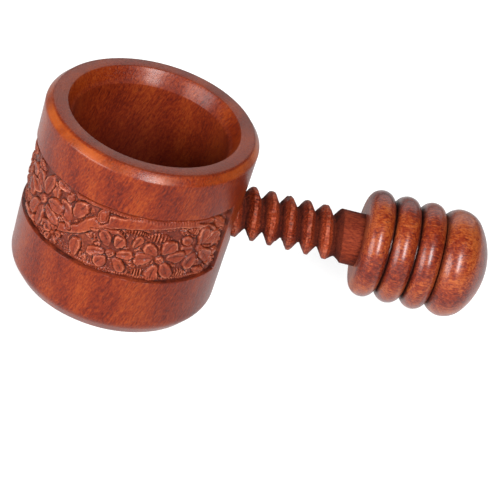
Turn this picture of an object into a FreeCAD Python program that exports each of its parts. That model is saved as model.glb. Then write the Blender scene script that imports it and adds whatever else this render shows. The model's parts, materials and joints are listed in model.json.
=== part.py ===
import FreeCAD, Part
import math
import os
import re

import Sketcher

# Screw nutcracker: a turned cup, a wooden screw through its side wall and a beaded knob.
# Frame: origin at the middle of the cup's flat base, +Z up, +X along the screw to the knob.

# Driving dimensions, in millimetres (angles in degrees)
DIMENSIONS = {
    # cup
    "cup_height": 62.4,         # base to rim
    "base_radius": 33.0,        # wall carried down to the base plane
    "top_radius": 34.2,         # wall where the rim's outer bevel starts
    "foot_radius": 29.6,        # flat that the cup rests on
    "foot_height": 4.6,         # height at which the foot meets the wall
    "foot_round": 5.5,          # rounding where the foot meets the wall
    "rim_outer": 31.95,         # flat top of the rim, outer edge
    "rim_inner": 27.6,          # flat top of the rim, inner edge
    "bevel_outer": 2.65,        # height of the rim's outer bevel
    "bevel_inner": 5.15,        # height of the rim's inner bevel
    "chamber_radius": 25.1,     # inside of the cup
    "floor_height": 9.0,        # inside floor above the base
    "floor_round": 6.0,         # rounding between the floor and the inside wall
    "band_low": 22.4,           # lower edge of the carved band
    "band_high": 46.8,          # upper edge of the carved band
    "band_depth": 0.8,          # ground of the carved band below the wall
    "band_angle": 300.0,        # turn that the band covers, opposite the screw
    # thread, shared by the screw and the cup
    "axis_height": 35.8,        # screw's axis above the base
    "pitch": 5.9,
    "major_radius": 8.5,
    "minor_radius": 5.3,
    "crest_width": 1.2,
    "root_width": 0.4,
    "thread_gap": 0.45,         # radial gap between the cup's thread and the screw's
    "crest_place": 35.82,       # where a crest of the screw passes the +Y side
    # screw
    "tip_place": 18.0,
    "tip_bevel": 2.2,
    "thread_end": 67.3,         # where the thread's groove stops, below the shank
    "shank_radius": 8.8,
    "shank_start": 65.0,
    "shank_cone": 2.6,          # length over which the crests grow to the shank
    # knob
    "face_place": 73.1,         # knob's flat face, against the shank
    "bead_round": 4.2,          # radius of a bead's rounding
    "bead_ring": 13.05,         # radius of the ring that the beads' roundings are centred on
    "bead_spacing": 8.35,
    "dome_radius": 17.3,        # widest radius of the domed end
    "dome_place": 103.37,       # where the domed end is widest
    "dome_inner_round": 6.0,    # rounding towards the last groove
    "dome_outer_round": 8.0,    # rounding towards the crown
    "crown_radius": 23.0,       # rounding of the crown
    # dowel that joins the knob to the screw
    "dowel_radius": 3.0,
    "dowel_length": 36.0,
    "dowel_in_screw": 14.0,     # length of the dowel on the screw's side
    "dowel_bevel": 0.6,
    "dowel_fit": 0.06,          # radial clearance round the dowel
    "dowel_end_gap": 0.4,       # clearance past each end of the dowel
    # cutters
    "cut_reach": 3.0,           # how far a cutter reaches past the outside
    "cut_lead": 0.15,           # how far the cup's thread cutter starts inside its hole
    "screw_cut_margin": 0.7,    # how far the screw's thread cutter reaches past its crests
    "cup_turns": 4.0,           # turns of thread cut in the cup
    "cup_turns_before": 3.0,    # turns of that cut on the tip's side of crest_place
    "screw_turns_before": 4.5,  # turns of the screw's cut on the tip's side of crest_place
}

# Dimensions that follow from the driving ones, as formulas on them
DERIVED = {
    # cup
    "wall_slope": "(top_radius - base_radius) / cup_height",
    "foot_wall": "base_radius + wall_slope * foot_height",
    "outer_bevel_low": "cup_height - bevel_outer",
    "inner_bevel_low": "cup_height - bevel_inner",
    "band_low_wall": "-(base_radius + wall_slope * band_low)",
    "band_low_ground": "band_low_wall + band_depth",
    "band_low_outside": "band_low_wall - cut_reach",
    "band_high_wall": "-(base_radius + wall_slope * band_high)",
    "band_high_ground": "band_high_wall + band_depth",
    "band_high_outside": "band_high_wall - cut_reach",
    # cup's thread
    "hole_radius": "minor_radius + thread_gap",
    "hole_reach": "top_radius + cut_reach",
    "flank_slope": "(pitch - crest_width - root_width) / 2 / (major_radius - minor_radius)",
    "cup_cut_top": "major_radius + thread_gap",
    "cup_cut_foot": "hole_radius - cut_lead",
    "cup_cut_place": "crest_place - cup_turns_before * pitch",
    "cup_cut_length": "cup_turns * pitch",
    "cup_cut_top_left": "cup_cut_place - crest_width / 2",
    "cup_cut_top_right": "cup_cut_place + crest_width / 2",
    "cup_cut_foot_left": "cup_cut_top_left - flank_slope * (cup_cut_top - cup_cut_foot)",
    "cup_cut_foot_right": "cup_cut_top_right + flank_slope * (cup_cut_top - cup_cut_foot)",
    # screw
    "cone_start": "shank_start - shank_cone",
    "tip_bevel_end": "tip_place + tip_bevel",
    "tip_radius": "major_radius - tip_bevel",
    "screw_cut_top": "major_radius + screw_cut_margin",
    "screw_cut_place": "crest_place - screw_turns_before * pitch",
    "screw_cut_length": "thread_end - screw_cut_place",
    "screw_cut_root_left": "screw_cut_place - root_width / 2",
    "screw_cut_root_right": "screw_cut_place + root_width / 2",
    "screw_cut_top_left": "screw_cut_root_left - flank_slope * (screw_cut_top - minor_radius)",
    "screw_cut_top_right": "screw_cut_root_right + flank_slope * (screw_cut_top - minor_radius)",
    # knob
    "bead_1_place": "face_place + bead_round",
    "bead_2_place": "bead_1_place + bead_spacing",
    "bead_3_place": "bead_2_place + bead_spacing",
    "shoulder_ring": "dome_radius - dome_inner_round",
    # dowel and its sockets
    "dowel_start": "face_place - dowel_in_screw",
    "dowel_end": "dowel_start + dowel_length",
    "dowel_bevel_start": "dowel_start + dowel_bevel",
    "dowel_bevel_end": "dowel_end - dowel_bevel",
    "dowel_end_radius": "dowel_radius - dowel_bevel",
    "socket_radius": "dowel_radius + dowel_fit",
    "screw_socket_start": "dowel_start - dowel_end_gap",
    "screw_socket_length": "face_place + cut_reach - screw_socket_start",
    "knob_socket_start": "face_place - cut_reach",
    "knob_socket_length": "dowel_end + dowel_end_gap - knob_socket_start",
}
ON_AXIS = None          # stands for a distance of zero, held on the sketch's own axis
START, END, CENTRE = 1, 2, 3    # points of a line or an arc in a sketch

doc = FreeCAD.newDocument("nutcracker")


def make_sheet():
    """Put the driving dimensions in a spreadsheet, one aliased cell each."""
    sheet = doc.addObject("Spreadsheet::Sheet", "Sizes")
    for row, (alias, number) in enumerate(DIMENSIONS.items(), start=1):
        sheet.set("A%d" % row, alias)
        sheet.set("B%d" % row, str(number))
        sheet.setAlias("B%d" % row, alias)
    doc.recompute()
    return sheet


sizes = make_sheet()


def spell_out(alias, write):
    """A dimension's formula on driving dimensions alone, each put down by write."""
    def swap(match):
        word = match.group()
        return "(%s)" % spell_out(word, write) if word in DERIVED else write(word)
    return re.sub("[a-z][a-z_0-9]+", swap, DERIVED.get(alias, alias))


def cell(alias):
    """How an expression names a cell of the sheet."""
    return "Sizes." + alias


def number_in(alias):
    """The number that a cell of the sheet holds, as text."""
    return repr(float(getattr(sizes, alias)))


def size(alias):
    """A dimension's value, worked out from the sheet."""
    if alias is ON_AXIS:
        return 0.0
    return float(FreeCAD.Units.parseQuantity(spell_out(alias, number_in)).Value)


def spot(across, along):
    """A point in a sketch's plane, from two dimensions."""
    return FreeCAD.Vector(size(across), size(along), 0)


def bind(thing, prop, alias):
    """Bind a property to a dimension, through the cells of the sheet."""
    thing.setExpression(prop, spell_out(alias, cell))


def new_body(label):
    body = doc.addObject("PartDesign::Body", label)
    body.Label = label
    return body


def new_sketch(body, name, role):
    sketch = body.newObject("Sketcher::SketchObject", name)
    plane = next(feature for feature in body.Origin.OriginFeatures if feature.Role == role)
    sketch.AttachmentSupport = [(plane, "")]
    sketch.MapMode = "FlatFace"
    return sketch


def join(sketch, first, first_point, second, second_point):
    sketch.addConstraint(Sketcher.Constraint(
        "Coincident", first, first_point, second, second_point))


def hold_radius(sketch, geometry, alias):
    index = sketch.addConstraint(Sketcher.Constraint("Radius", geometry, size(alias)))
    bind(sketch, "Constraints[%d]" % index, alias)


def hold_point(sketch, geometry, point, across, along):
    """Hold a sketch point at two dimensions from the origin."""
    for kind, alias, axis in (("DistanceX", across, -2), ("DistanceY", along, -1)):
        if alias is ON_AXIS:
            sketch.addConstraint(Sketcher.Constraint("PointOnObject", geometry, point, axis))
        else:
            index = sketch.addConstraint(Sketcher.Constraint(
                kind, -1, 1, geometry, point, size(alias)))
            bind(sketch, "Constraints[%d]" % index, alias)


def closed_outline(sketch, corners):
    """Draw straight lines through corners given as pairs of dimensions, and close them."""
    spots = [spot(across, along) for across, along in corners]
    lines = []
    for start, end in zip(spots, spots[1:] + spots[:1]):
        lines.append(sketch.addGeometry(Part.LineSegment(start, end), False))
    for line, following in zip(lines, lines[1:] + lines[:1]):
        join(sketch, line, END, following, START)
    for line, (across, along) in zip(lines, corners):
        hold_point(sketch, line, START, across, along)


def revolve(body, sketch, axis, name):
    feature = body.newObject("PartDesign::Revolution", name)
    feature.Profile = sketch
    feature.ReferenceAxis = (sketch, [axis])
    feature.Angle = 360.0
    doc.recompute()
    return feature


def cut_checked(body, feature, before):
    """Recompute a cut and make sure that it took material away."""
    doc.recompute()
    after = body.Shape.Volume
    if not after < before - 1.0:
        raise RuntimeError("%s cut nothing: %.1f to %.1f" % (feature.Name, before, after))


def round_edges(body, base, height, radius, name):
    """Round the widest level edge of the body at this height."""
    level = {}
    for number, edge in enumerate(body.Shape.Edges, start=1):
        box = edge.BoundBox
        if box.ZLength < 0.01 and abs(box.ZMin - size(height)) < 0.01:
            level["Edge%d" % number] = box.XLength
    widest = max(level.values())
    rounding = body.newObject("PartDesign::Fillet", name)
    rounding.Base = (base, [edge for edge, width in level.items() if width > widest - 0.01])
    bind(rounding, "Radius", radius)
    doc.recompute()
    return rounding


def cut_round_hole(body, name, height, radius, length, start):
    """Cut a round hole along +X, from start for a length."""
    sketch = new_sketch(body, name + "_sketch", "YZ_Plane")
    circle = Part.Circle(spot(ON_AXIS, height), FreeCAD.Vector(0, 0, 1), size(radius))
    rim = sketch.addGeometry(circle, False)
    hold_point(sketch, rim, CENTRE, ON_AXIS, height)
    hold_radius(sketch, rim, radius)
    if start is not ON_AXIS:
        bind(sketch, "AttachmentOffset.Base.z", start)
    doc.recompute()
    before = body.Shape.Volume
    pocket = body.newObject("PartDesign::Pocket", name)
    pocket.Profile = sketch
    bind(pocket, "Length", length)
    pocket.Reversed = True
    cut_checked(body, pocket, before)


def cut_thread(body, name, height, corners, length):
    """Cut a right-hand helix about the line at this height, from a profile on the +Y side."""
    sketch = new_sketch(body, name + "_profile", "XY_Plane")
    if height is not ON_AXIS:
        bind(sketch, "AttachmentOffset.Base.z", height)
    closed_outline(sketch, corners)
    doc.recompute()
    before = body.Shape.Volume
    helix = body.newObject("PartDesign::SubtractiveHelix", name)
    helix.Profile = sketch
    helix.ReferenceAxis = (sketch, ["H_Axis"])
    helix.Mode = "pitch-height-angle"
    bind(helix, "Pitch", "pitch")
    bind(helix, "Height", length)
    helix.LeftHanded = False
    cut_checked(body, helix, before)


def make_cup():
    """Turned cup with a carved band and a threaded hole through its side wall."""
    body = new_body("cup")
    outline = new_sketch(body, "cup_outline", "XZ_Plane")
    closed_outline(outline, [
        (ON_AXIS, ON_AXIS),
        ("foot_radius", ON_AXIS),
        ("foot_wall", "foot_height"),
        ("top_radius", "outer_bevel_low"),
        ("rim_outer", "cup_height"),
        ("rim_inner", "cup_height"),
        ("chamber_radius", "inner_bevel_low"),
        ("chamber_radius", "floor_height"),
        (ON_AXIS, "floor_height"),
    ])
    turned = revolve(body, outline, "V_Axis", "cup_turned")
    inside = round_edges(body, turned, "floor_height", "floor_round", "floor_rounding")
    round_edges(body, inside, "foot_height", "foot_round", "foot_rounding")

    # ground of the carved band, left out beside the hole
    band = new_sketch(body, "band_outline", "XZ_Plane")
    closed_outline(band, [
        ("band_low_outside", "band_low"),
        ("band_low_ground", "band_low"),
        ("band_high_ground", "band_high"),
        ("band_high_outside", "band_high"),
    ])
    doc.recompute()
    before = body.Shape.Volume
    recess = body.newObject("PartDesign::Groove", "band_recess")
    recess.Profile = band
    recess.ReferenceAxis = (band, ["V_Axis"])
    recess.Midplane = True
    bind(recess, "Angle", "band_angle")
    cut_checked(body, recess, before)

    # threaded hole for the screw
    cut_round_hole(body, "screw_hole", "axis_height", "hole_radius", "hole_reach", ON_AXIS)
    cut_thread(body, "cup_thread", "axis_height", [
        ("cup_cut_foot_left", "cup_cut_foot"),
        ("cup_cut_foot_right", "cup_cut_foot"),
        ("cup_cut_top_right", "cup_cut_top"),
        ("cup_cut_top_left", "cup_cut_top"),
    ], "cup_cut_length")
    return body


def make_screw():
    """Threaded screw with a plain shank that butts against the knob."""
    body = new_body("screw")
    outline = new_sketch(body, "screw_outline", "XY_Plane")
    closed_outline(outline, [
        ("tip_place", ON_AXIS),
        ("face_place", ON_AXIS),
        ("face_place", "shank_radius"),
        ("shank_start", "shank_radius"),
        ("cone_start", "major_radius"),
        ("tip_bevel_end", "major_radius"),
        ("tip_place", "tip_radius"),
    ])
    revolve(body, outline, "H_Axis", "screw_turned")
    cut_thread(body, "screw_thread", ON_AXIS, [
        ("screw_cut_root_left", "minor_radius"),
        ("screw_cut_root_right", "minor_radius"),
        ("screw_cut_top_right", "screw_cut_top"),
        ("screw_cut_top_left", "screw_cut_top"),
    ], "screw_cut_length")
    cut_round_hole(body, "dowel_socket", ON_AXIS, "socket_radius",
                   "screw_socket_length", "screw_socket_start")
    bind(body, "Placement.Base.z", "axis_height")
    return body


def outer_crossing(first, first_radius, second, second_radius):
    """Where two circles cross, on the side away from the axis."""
    between = second - first
    along = (between.Length ** 2 + first_radius ** 2 - second_radius ** 2) / 2 / between.Length
    aside = math.sqrt(first_radius ** 2 - along ** 2)
    between.normalize()
    return first + between * along + FreeCAD.Vector(-between.y, between.x, 0) * aside


def add_arc(sketch, centre, radius, start, end):
    """Draw an arc round a centre, anticlockwise between the directions of two points."""
    circle = Part.Circle(centre, FreeCAD.Vector(0, 0, 1), size(radius))
    first = math.atan2(start.y - centre.y, start.x - centre.x)
    last = math.atan2(end.y - centre.y, end.x - centre.x)
    geometry = sketch.addGeometry(Part.ArcOfCircle(circle, first, last), False)
    hold_radius(sketch, geometry, radius)
    return geometry


def make_knob():
    """Turned knob: equal beads and a domed end, with a socket for the dowel."""
    body = new_body("knob")
    outline = new_sketch(body, "knob_outline", "XY_Plane")
    face_rim = spot("face_place", "bead_ring")
    widest = spot("dome_place", "dome_radius")

    # beads and the dome's shoulder, each arc drawn from its right end round to its left end
    rounds = [
        ("bead_1_place", "bead_ring", "bead_round"),
        ("bead_2_place", "bead_ring", "bead_round"),
        ("bead_3_place", "bead_ring", "bead_round"),
        ("dome_place", "shoulder_ring", "dome_inner_round"),
    ]
    joins = [face_rim]
    for (place, ring, radius), (next_place, next_ring, next_radius) in zip(rounds, rounds[1:]):
        joins.append(outer_crossing(spot(place, ring), size(radius),
                                    spot(next_place, next_ring), size(next_radius)))
    joins.append(widest)
    arcs = []
    for (place, ring, radius), left, right in zip(rounds, joins, joins[1:]):
        arcs.append(add_arc(outline, spot(place, ring), radius, right, left))
        hold_point(outline, arcs[-1], CENTRE, place, ring)
    for left_arc, right_arc in zip(arcs, arcs[1:]):
        join(outline, left_arc, START, right_arc, END)
    first_bead, shoulder = arcs[0], arcs[-1]

    # the dome's corner and crown
    corner_centre = widest - FreeCAD.Vector(0, size("dome_outer_round"), 0)
    inner_crown = size("crown_radius") - size("dome_outer_round")
    crown_centre = FreeCAD.Vector(
        corner_centre.x - math.sqrt(inner_crown ** 2 - corner_centre.y ** 2), 0, 0)
    crown_end = crown_centre + FreeCAD.Vector(size("crown_radius"), 0, 0)
    corner_end = corner_centre * 2 - crown_centre
    corner = add_arc(outline, corner_centre, "dome_outer_round", corner_end, widest)
    crown = add_arc(outline, crown_centre, "crown_radius", crown_end, corner_centre)
    outline.addConstraint(Sketcher.Constraint("Vertical", corner, CENTRE, shoulder, CENTRE))
    join(outline, shoulder, START, corner, END)
    outline.addConstraint(Sketcher.Constraint("Vertical", shoulder, START, shoulder, CENTRE))
    outline.addConstraint(Sketcher.Constraint("PointOnObject", crown, CENTRE, -1))
    outline.addConstraint(Sketcher.Constraint("PointOnObject", crown, START, -1))
    outline.addConstraint(Sketcher.Constraint("Tangent", corner, START, crown, END))

    # axis and flat face
    face_middle = spot("face_place", ON_AXIS)
    axis = outline.addGeometry(Part.LineSegment(crown_end, face_middle), False)
    join(outline, crown, START, axis, START)
    outline.addConstraint(Sketcher.Constraint("PointOnObject", axis, END, -1))
    flat = outline.addGeometry(Part.LineSegment(face_middle, face_rim), False)
    join(outline, axis, END, flat, START)
    join(outline, flat, END, first_bead, END)
    outline.addConstraint(Sketcher.Constraint("Vertical", flat))
    outline.addConstraint(Sketcher.Constraint("Horizontal", first_bead, END, first_bead, CENTRE))
    revolve(body, outline, "H_Axis", "knob_turned")

    cut_round_hole(body, "dowel_socket_knob", ON_AXIS, "socket_radius",
                   "knob_socket_length", "knob_socket_start")
    bind(body, "Placement.Base.z", "axis_height")
    return body


def make_dowel():
    """Plain dowel inside the screw and the knob."""
    body = new_body("joining_dowel")
    outline = new_sketch(body, "dowel_outline", "XY_Plane")
    closed_outline(outline, [
        ("dowel_start", ON_AXIS),
        ("dowel_end", ON_AXIS),
        ("dowel_end", "dowel_end_radius"),
        ("dowel_bevel_end", "dowel_radius"),
        ("dowel_bevel_start", "dowel_radius"),
        ("dowel_start", "dowel_end_radius"),
    ])
    revolve(body, outline, "H_Axis", "dowel_turned")
    bind(body, "Placement.Base.z", "axis_height")
    return body


def check_document(subparts):
    """Stop if any object failed or any sub-part has no sound solid."""
    for thing in doc.Objects:
        if "Invalid" in thing.State or "Error" in thing.State:
            raise RuntimeError("%s: %s" % (thing.Name, thing.State))
    for subpart in subparts:
        shape = subpart.Shape
        if shape.isNull() or not shape.isValid() or len(shape.Solids) != 1:
            raise RuntimeError("%s has no single valid solid" % subpart.Label)


pieces = [make_cup(), make_screw(), make_knob(), make_dowel()]
doc.recompute()
check_document(pieces)
os.makedirs("parts", exist_ok=True)
for piece in pieces:
    piece.Shape.exportStep("parts/%s.step" % piece.Label)
    box = piece.Shape.BoundBox
    print("%-14s volume %9.1f  x %.2f..%.2f  y %.2f..%.2f  z %.2f..%.2f" % (
        piece.Label, piece.Shape.Volume, box.XMin, box.XMax, box.YMin, box.YMax,
        box.ZMin, box.ZMax))
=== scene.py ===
import json
import math

import bmesh
import bpy
import numpy as np
from mathutils import Matrix, Vector


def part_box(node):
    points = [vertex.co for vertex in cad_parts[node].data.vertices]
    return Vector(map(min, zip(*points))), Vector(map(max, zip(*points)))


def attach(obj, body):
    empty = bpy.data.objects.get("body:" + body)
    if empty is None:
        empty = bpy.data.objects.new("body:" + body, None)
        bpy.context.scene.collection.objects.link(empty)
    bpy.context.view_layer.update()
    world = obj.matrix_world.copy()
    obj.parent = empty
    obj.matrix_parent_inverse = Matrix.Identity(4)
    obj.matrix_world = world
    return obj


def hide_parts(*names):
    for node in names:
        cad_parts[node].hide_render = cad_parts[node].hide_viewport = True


# Looks for a turned and carved wooden screw nutcracker.
# Lengths are in millimetres while a shape is worked out, and in metres in every mesh.

MM = 0.001

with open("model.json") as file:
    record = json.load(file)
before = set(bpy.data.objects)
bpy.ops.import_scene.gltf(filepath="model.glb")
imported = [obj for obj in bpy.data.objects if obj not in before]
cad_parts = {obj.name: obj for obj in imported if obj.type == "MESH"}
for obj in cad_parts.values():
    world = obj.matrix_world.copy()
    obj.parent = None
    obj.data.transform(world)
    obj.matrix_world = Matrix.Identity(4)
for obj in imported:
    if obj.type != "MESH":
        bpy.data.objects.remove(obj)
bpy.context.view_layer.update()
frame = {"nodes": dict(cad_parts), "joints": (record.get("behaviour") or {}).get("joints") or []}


# ---------------------------------------------------------------- sizes from the frame

def box_mm(node):
    """Opposite corners of a CAD object's box."""
    low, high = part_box(node)
    return np.array(low) / MM, np.array(high) / MM


cup_high = box_mm("cup")[1]
screw_low, screw_high = box_mm("screw")
knob_low, knob_high = box_mm("knob")
dowel_low, dowel_high = box_mm("joining_dowel")
screw_turn = next(joint for joint in frame["joints"] if joint["name"] == "screw_turn")

CUP_HEIGHT = cup_high[2]
TOP_RADIUS = cup_high[1]
AXIS_HEIGHT = screw_turn["pos_m"][2] / MM
SCREW_TIP = screw_low[0]
KNOB_FACE = knob_low[0]
KNOB_END = knob_high[0]
SHANK_RADIUS = (screw_high[1] - screw_low[1]) / 2
KNOB_RADIUS = (knob_high[1] - knob_low[1]) / 2
DOWEL_RADIUS = (dowel_high[1] - dowel_low[1]) / 2

# cup
BASE_RADIUS = TOP_RADIUS - 1.2
FOOT_RADIUS = BASE_RADIUS - 3.4
FOOT_HEIGHT = 4.6
FOOT_ROUND = 5.5
BASE_EDGE_ROUND = 1.2
RIM_OUTER = TOP_RADIUS - 2.25
RIM_INNER = TOP_RADIUS - 6.6
BEVEL_OUTER = 2.65      # height of the bevel outside the rim
BEVEL_INNER = 5.15      # and inside it
CHAMBER_RADIUS = TOP_RADIUS - 9.1
FLOOR_HEIGHT = 9.0
FLOOR_ROUND = 6.0
LATHE_STEP = 1.3        # spacing of the rings on plain stretches
UNEVEN = 0.05           # how far a turned surface strays inward

# carved band; BAND_END is half of the arc that it leaves plain beside the screw
BAND_LOW = 22.4
BAND_HIGH = 46.8
BAND_TALL = BAND_HIGH - BAND_LOW
BAND_END = math.radians(27.0)
BAND_RADIUS = BASE_RADIUS + 0.6
BAND_LENGTH = (2 * math.pi - 2 * BAND_END) * BAND_RADIUS
BAND_STEP = 0.235       # spacing of the rings in the band
GROUND = -1.25          # the carving's ground, against the wall's surface
TRENCH = -2.10          # the deepest cut round a shape
STOP_CUT = -1.50        # the cut along the band's edge
REPEAT = 88.0           # length of one repeat of the pattern
FINE = 840              # points round the cup in the carved band
COARSE = FINE // 4      # and elsewhere

# thread; a crest passes CREST_PLACE on the side that faces +Y
PITCH = 5.9
MAJOR = 8.5             # crest radius
MINOR = 5.3             # root radius
CREST = 1.2             # flat width at the crest
ROOT = 0.4              # flat width at the root
GAP = 0.45              # play between screw and hole
CREST_PLACE = 35.82
THREAD_END = 67.3       # the thread's grooves fade out by this place
SOFT_CREST = 0.004      # rounds the crest's edges

# plain ends of the screw, and the dowel's sockets
SHANK_START = 65.0
SHANK_CONE = 2.6
TIP_BEVEL = 2.2
SCREW_STEP = 0.145      # spacing of the screw's rings
SCREW_COUNT = 144       # and points round each
SOCKET = DOWEL_RADIUS + 0.06
SOCKET_BEVEL = 1.5
END_GAP = 0.4           # between the dowel's end and the bottom of its socket

# threaded hole
HOLE_STEP = 0.2
HOLE_COUNT = 96
OUTER_FLARE = 0.8       # wear at the hole's outer edge
INNER_FLARE = 0.6       # and at its inner edge

# knob
BEAD_ROUND = 4.2
BEAD_RING = KNOB_RADIUS - 4.25
BEAD_SPACING = 8.35
BEAD_COUNT = 3
DOME_PLACE = KNOB_END - 11.23
DOME_INNER = 6.0        # radius of the dome's shoulder
DOME_OUTER = 8.0        # of its outer turn
CROWN = 23.0            # and of its crown
DOME_START = 2.63       # angle at which the shoulder leaves the last groove
NEAR_POLE = 0.02        # angle at which the crown's last ring stands
GROOVE_WIDTH = 0.75
GROOVE_RADIUS = BEAD_RING - 0.3
GROOVE_FLAT = 0.3       # half of the groove's flat bottom, as a share of its width
KNOB_COUNT = 168        # points round each ring of the knob
BEAD_STEPS = 30
DOME_STEPS = 22
CROWN_STEPS = 26


# ---------------------------------------------------------------- small helpers

def smooth(value):
    """Smooth step of a value from 0 to 1."""
    value = np.clip(value, 0.0, 1.0)
    return value * value * (3.0 - 2.0 * value)


HASH_FACTORS = (127.1, 311.7, 74.7)
HASH_SCALE = 43758.5453


def hash_noise(*cells):
    """A repeatable number from 0 to 1 for whole-number cells."""
    total = np.zeros_like(np.asarray(cells[0], dtype=float))
    for factor, cell in zip(HASH_FACTORS, cells):
        total = total + factor * cell
    return np.modf(np.abs(np.sin(total) * HASH_SCALE))[0]


def value_noise(u, v, seed=0.0):
    """Smooth noise from -1 to 1 over a plane, with cells one unit wide."""
    iu, iv = np.floor(u), np.floor(v)
    fu, fv = smooth(u - iu), smooth(v - iv)
    low = hash_noise(iu, iv, seed) * (1 - fu) + hash_noise(iu + 1, iv, seed) * fu
    high = hash_noise(iu, iv + 1, seed) * (1 - fu) + hash_noise(iu + 1, iv + 1, seed) * fu
    return 2.0 * (low * (1 - fv) + high * fv) - 1.0


def rounded(corners, step):
    """Points along straight runs between (r, z, rounding) corners, with arcs at the corners."""
    path = []
    count = len(corners)
    for index, (r, z, rounding) in enumerate(corners):
        here = np.array((r, z), dtype=float)
        if rounding <= 0 or index in (0, count - 1):
            path.append([here])
            continue
        before = np.array(corners[index - 1][:2]) - here
        after = np.array(corners[index + 1][:2]) - here
        before /= np.linalg.norm(before)
        after /= np.linalg.norm(after)
        half = math.acos(float(np.clip(before @ after, -1, 1))) / 2
        reach = rounding / math.tan(half)
        middle = before + after
        centre = here + middle / np.linalg.norm(middle) * rounding / math.sin(half)
        start, end = here + before * reach - centre, here + after * reach - centre
        first = math.atan2(start[1], start[0])
        turn = math.atan2(start[0] * end[1] - start[1] * end[0], float(start @ end))
        steps = max(3, int(abs(turn) * rounding / min(step, 0.5)) + 1)
        angles = first + np.linspace(0, turn, steps)
        path.append([centre + rounding * np.array((math.cos(a), math.sin(a))) for a in angles])
    points = [path[0][0]]
    for stretch in path[1:]:
        gap = stretch[0] - points[-1]
        pieces = max(1, int(np.linalg.norm(gap) / step))
        for k in range(1, pieces):
            points.append(points[-1] + (stretch[0] - points[-1]) / (pieces - k + 1))
        points.extend(stretch)
    return points


CUP_SHARP = 40.0        # degrees; steeper edges stay sharp
SCREW_SHARP = 50.0


def make_object(name, vertices, faces):
    """A mesh object from vertices in millimetres."""
    mesh = bpy.data.meshes.new(name)
    mesh.from_pydata([tuple(v) for v in np.asarray(vertices) * MM], [], faces)
    mesh.validate()
    thing = bpy.data.objects.new(name, mesh)
    bpy.context.scene.collection.objects.link(thing)
    shade(thing, CUP_SHARP)
    return thing


def shade(thing, sharp_angle):
    """Smooth shading that keeps edges sharper than an angle in degrees."""
    mesh = thing.data
    mesh.polygons.foreach_set("use_smooth", [True] * len(mesh.polygons))
    mesh.set_sharp_from_angle(angle=math.radians(sharp_angle))
    mesh.update()


def store(thing, name, values):
    """Keep one number for each vertex of a mesh, for its material to read."""
    layer = thing.data.attributes.new(name, "FLOAT", "POINT")
    layer.data.foreach_set("value", values.astype(np.float32))


def add_ring(vertices, rings, points):
    """Append points to the vertices and their numbers to the rings."""
    start = len(vertices)
    vertices.extend(points)
    rings.append(list(range(start, len(vertices))))


def lathe_faces(rings):
    """Faces that join rings of vertex numbers; a ring may have half or twice its neighbour's."""
    faces = []
    for low, high in zip(rings, rings[1:]):
        if len(low) == 1 or len(high) == 1:
            pole, ring = (low[0], high) if len(low) == 1 else (high[0], low)
            for j in range(len(ring)):
                pair = (ring[j], ring[(j + 1) % len(ring)])
                faces.append((pole, pair[1], pair[0]) if len(low) == 1 else (pole, *pair))
        elif len(low) == len(high):
            n = len(low)
            faces.extend((low[j], low[(j + 1) % n], high[(j + 1) % n], high[j]) for j in range(n))
        elif len(low) < len(high):
            n = len(low)
            for j in range(n):
                a, b = low[j], low[(j + 1) % n]
                c, d, e = high[2 * j], high[2 * j + 1], high[(2 * j + 2) % (2 * n)]
                faces.extend(((a, d, c), (a, b, d), (b, e, d)))
        else:
            n = len(high)
            for j in range(n):
                a, b = high[j], high[(j + 1) % n]
                c, d, e = low[2 * j], low[2 * j + 1], low[(2 * j + 2) % (2 * n)]
                faces.extend(((a, c, d), (a, d, b), (b, d, e)))
    return faces


# ---------------------------------------------------------------- carving

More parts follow.
